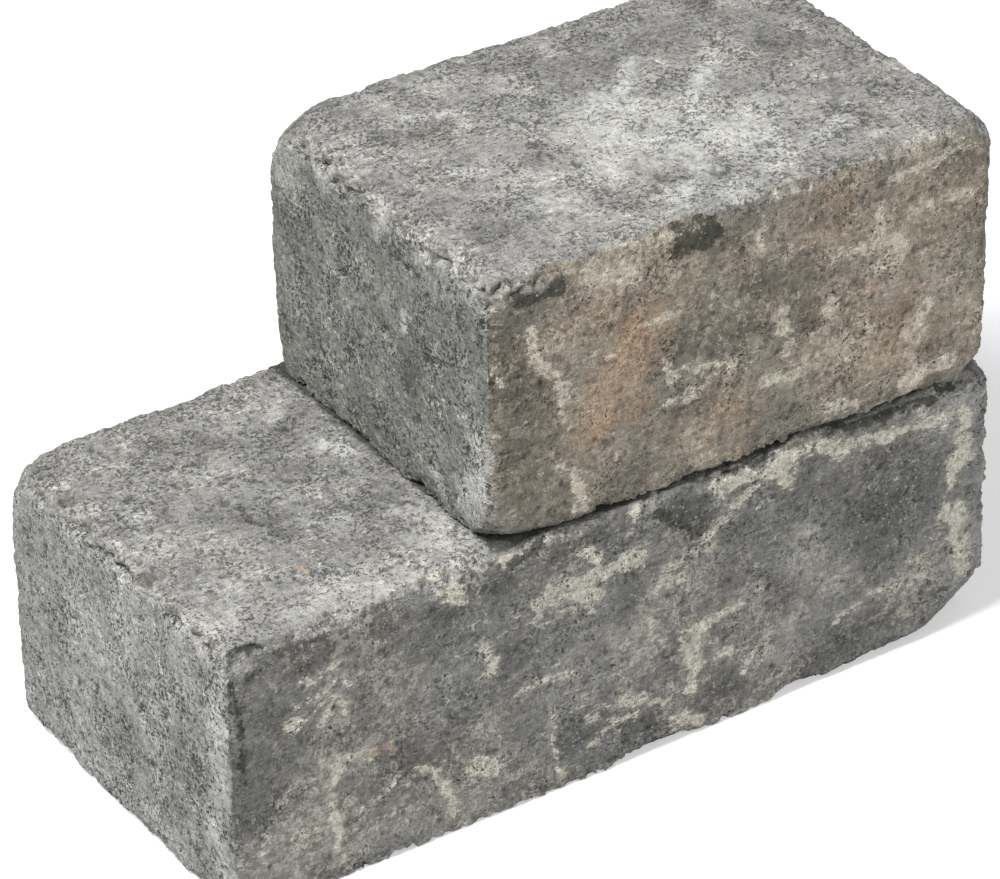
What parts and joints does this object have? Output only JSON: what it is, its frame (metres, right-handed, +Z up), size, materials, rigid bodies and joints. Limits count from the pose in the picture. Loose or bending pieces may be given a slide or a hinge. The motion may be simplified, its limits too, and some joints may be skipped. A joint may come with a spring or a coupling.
{
  "type": "stack of tumbled concrete walling blocks",
  "caption": "Long tumbled concrete walling block carrying a shorter one laid dry on one end, as in the start of a stepped garden wall course.",
  "frame": {"origin": "centre of the long block's underside, on the ground", "axes": "+Z up, +X along the long block towards the end that carries the short block, +Y from the front face to the back face"},
  "size_m": [0.4539, 0.2168, 0.2975],
  "materials": {
    "long_block_concrete": "rough cast concrete, tumbled, mottled grey with pale bloom",
    "short_block_concrete": "rough cast concrete, tumbled, mottled warm grey-brown with pale bloom"
  },
  "bodies": {
    "root": {"long_block": "long_block_concrete", "short_block": "short_block_concrete"}
  },
  "joints": []
}
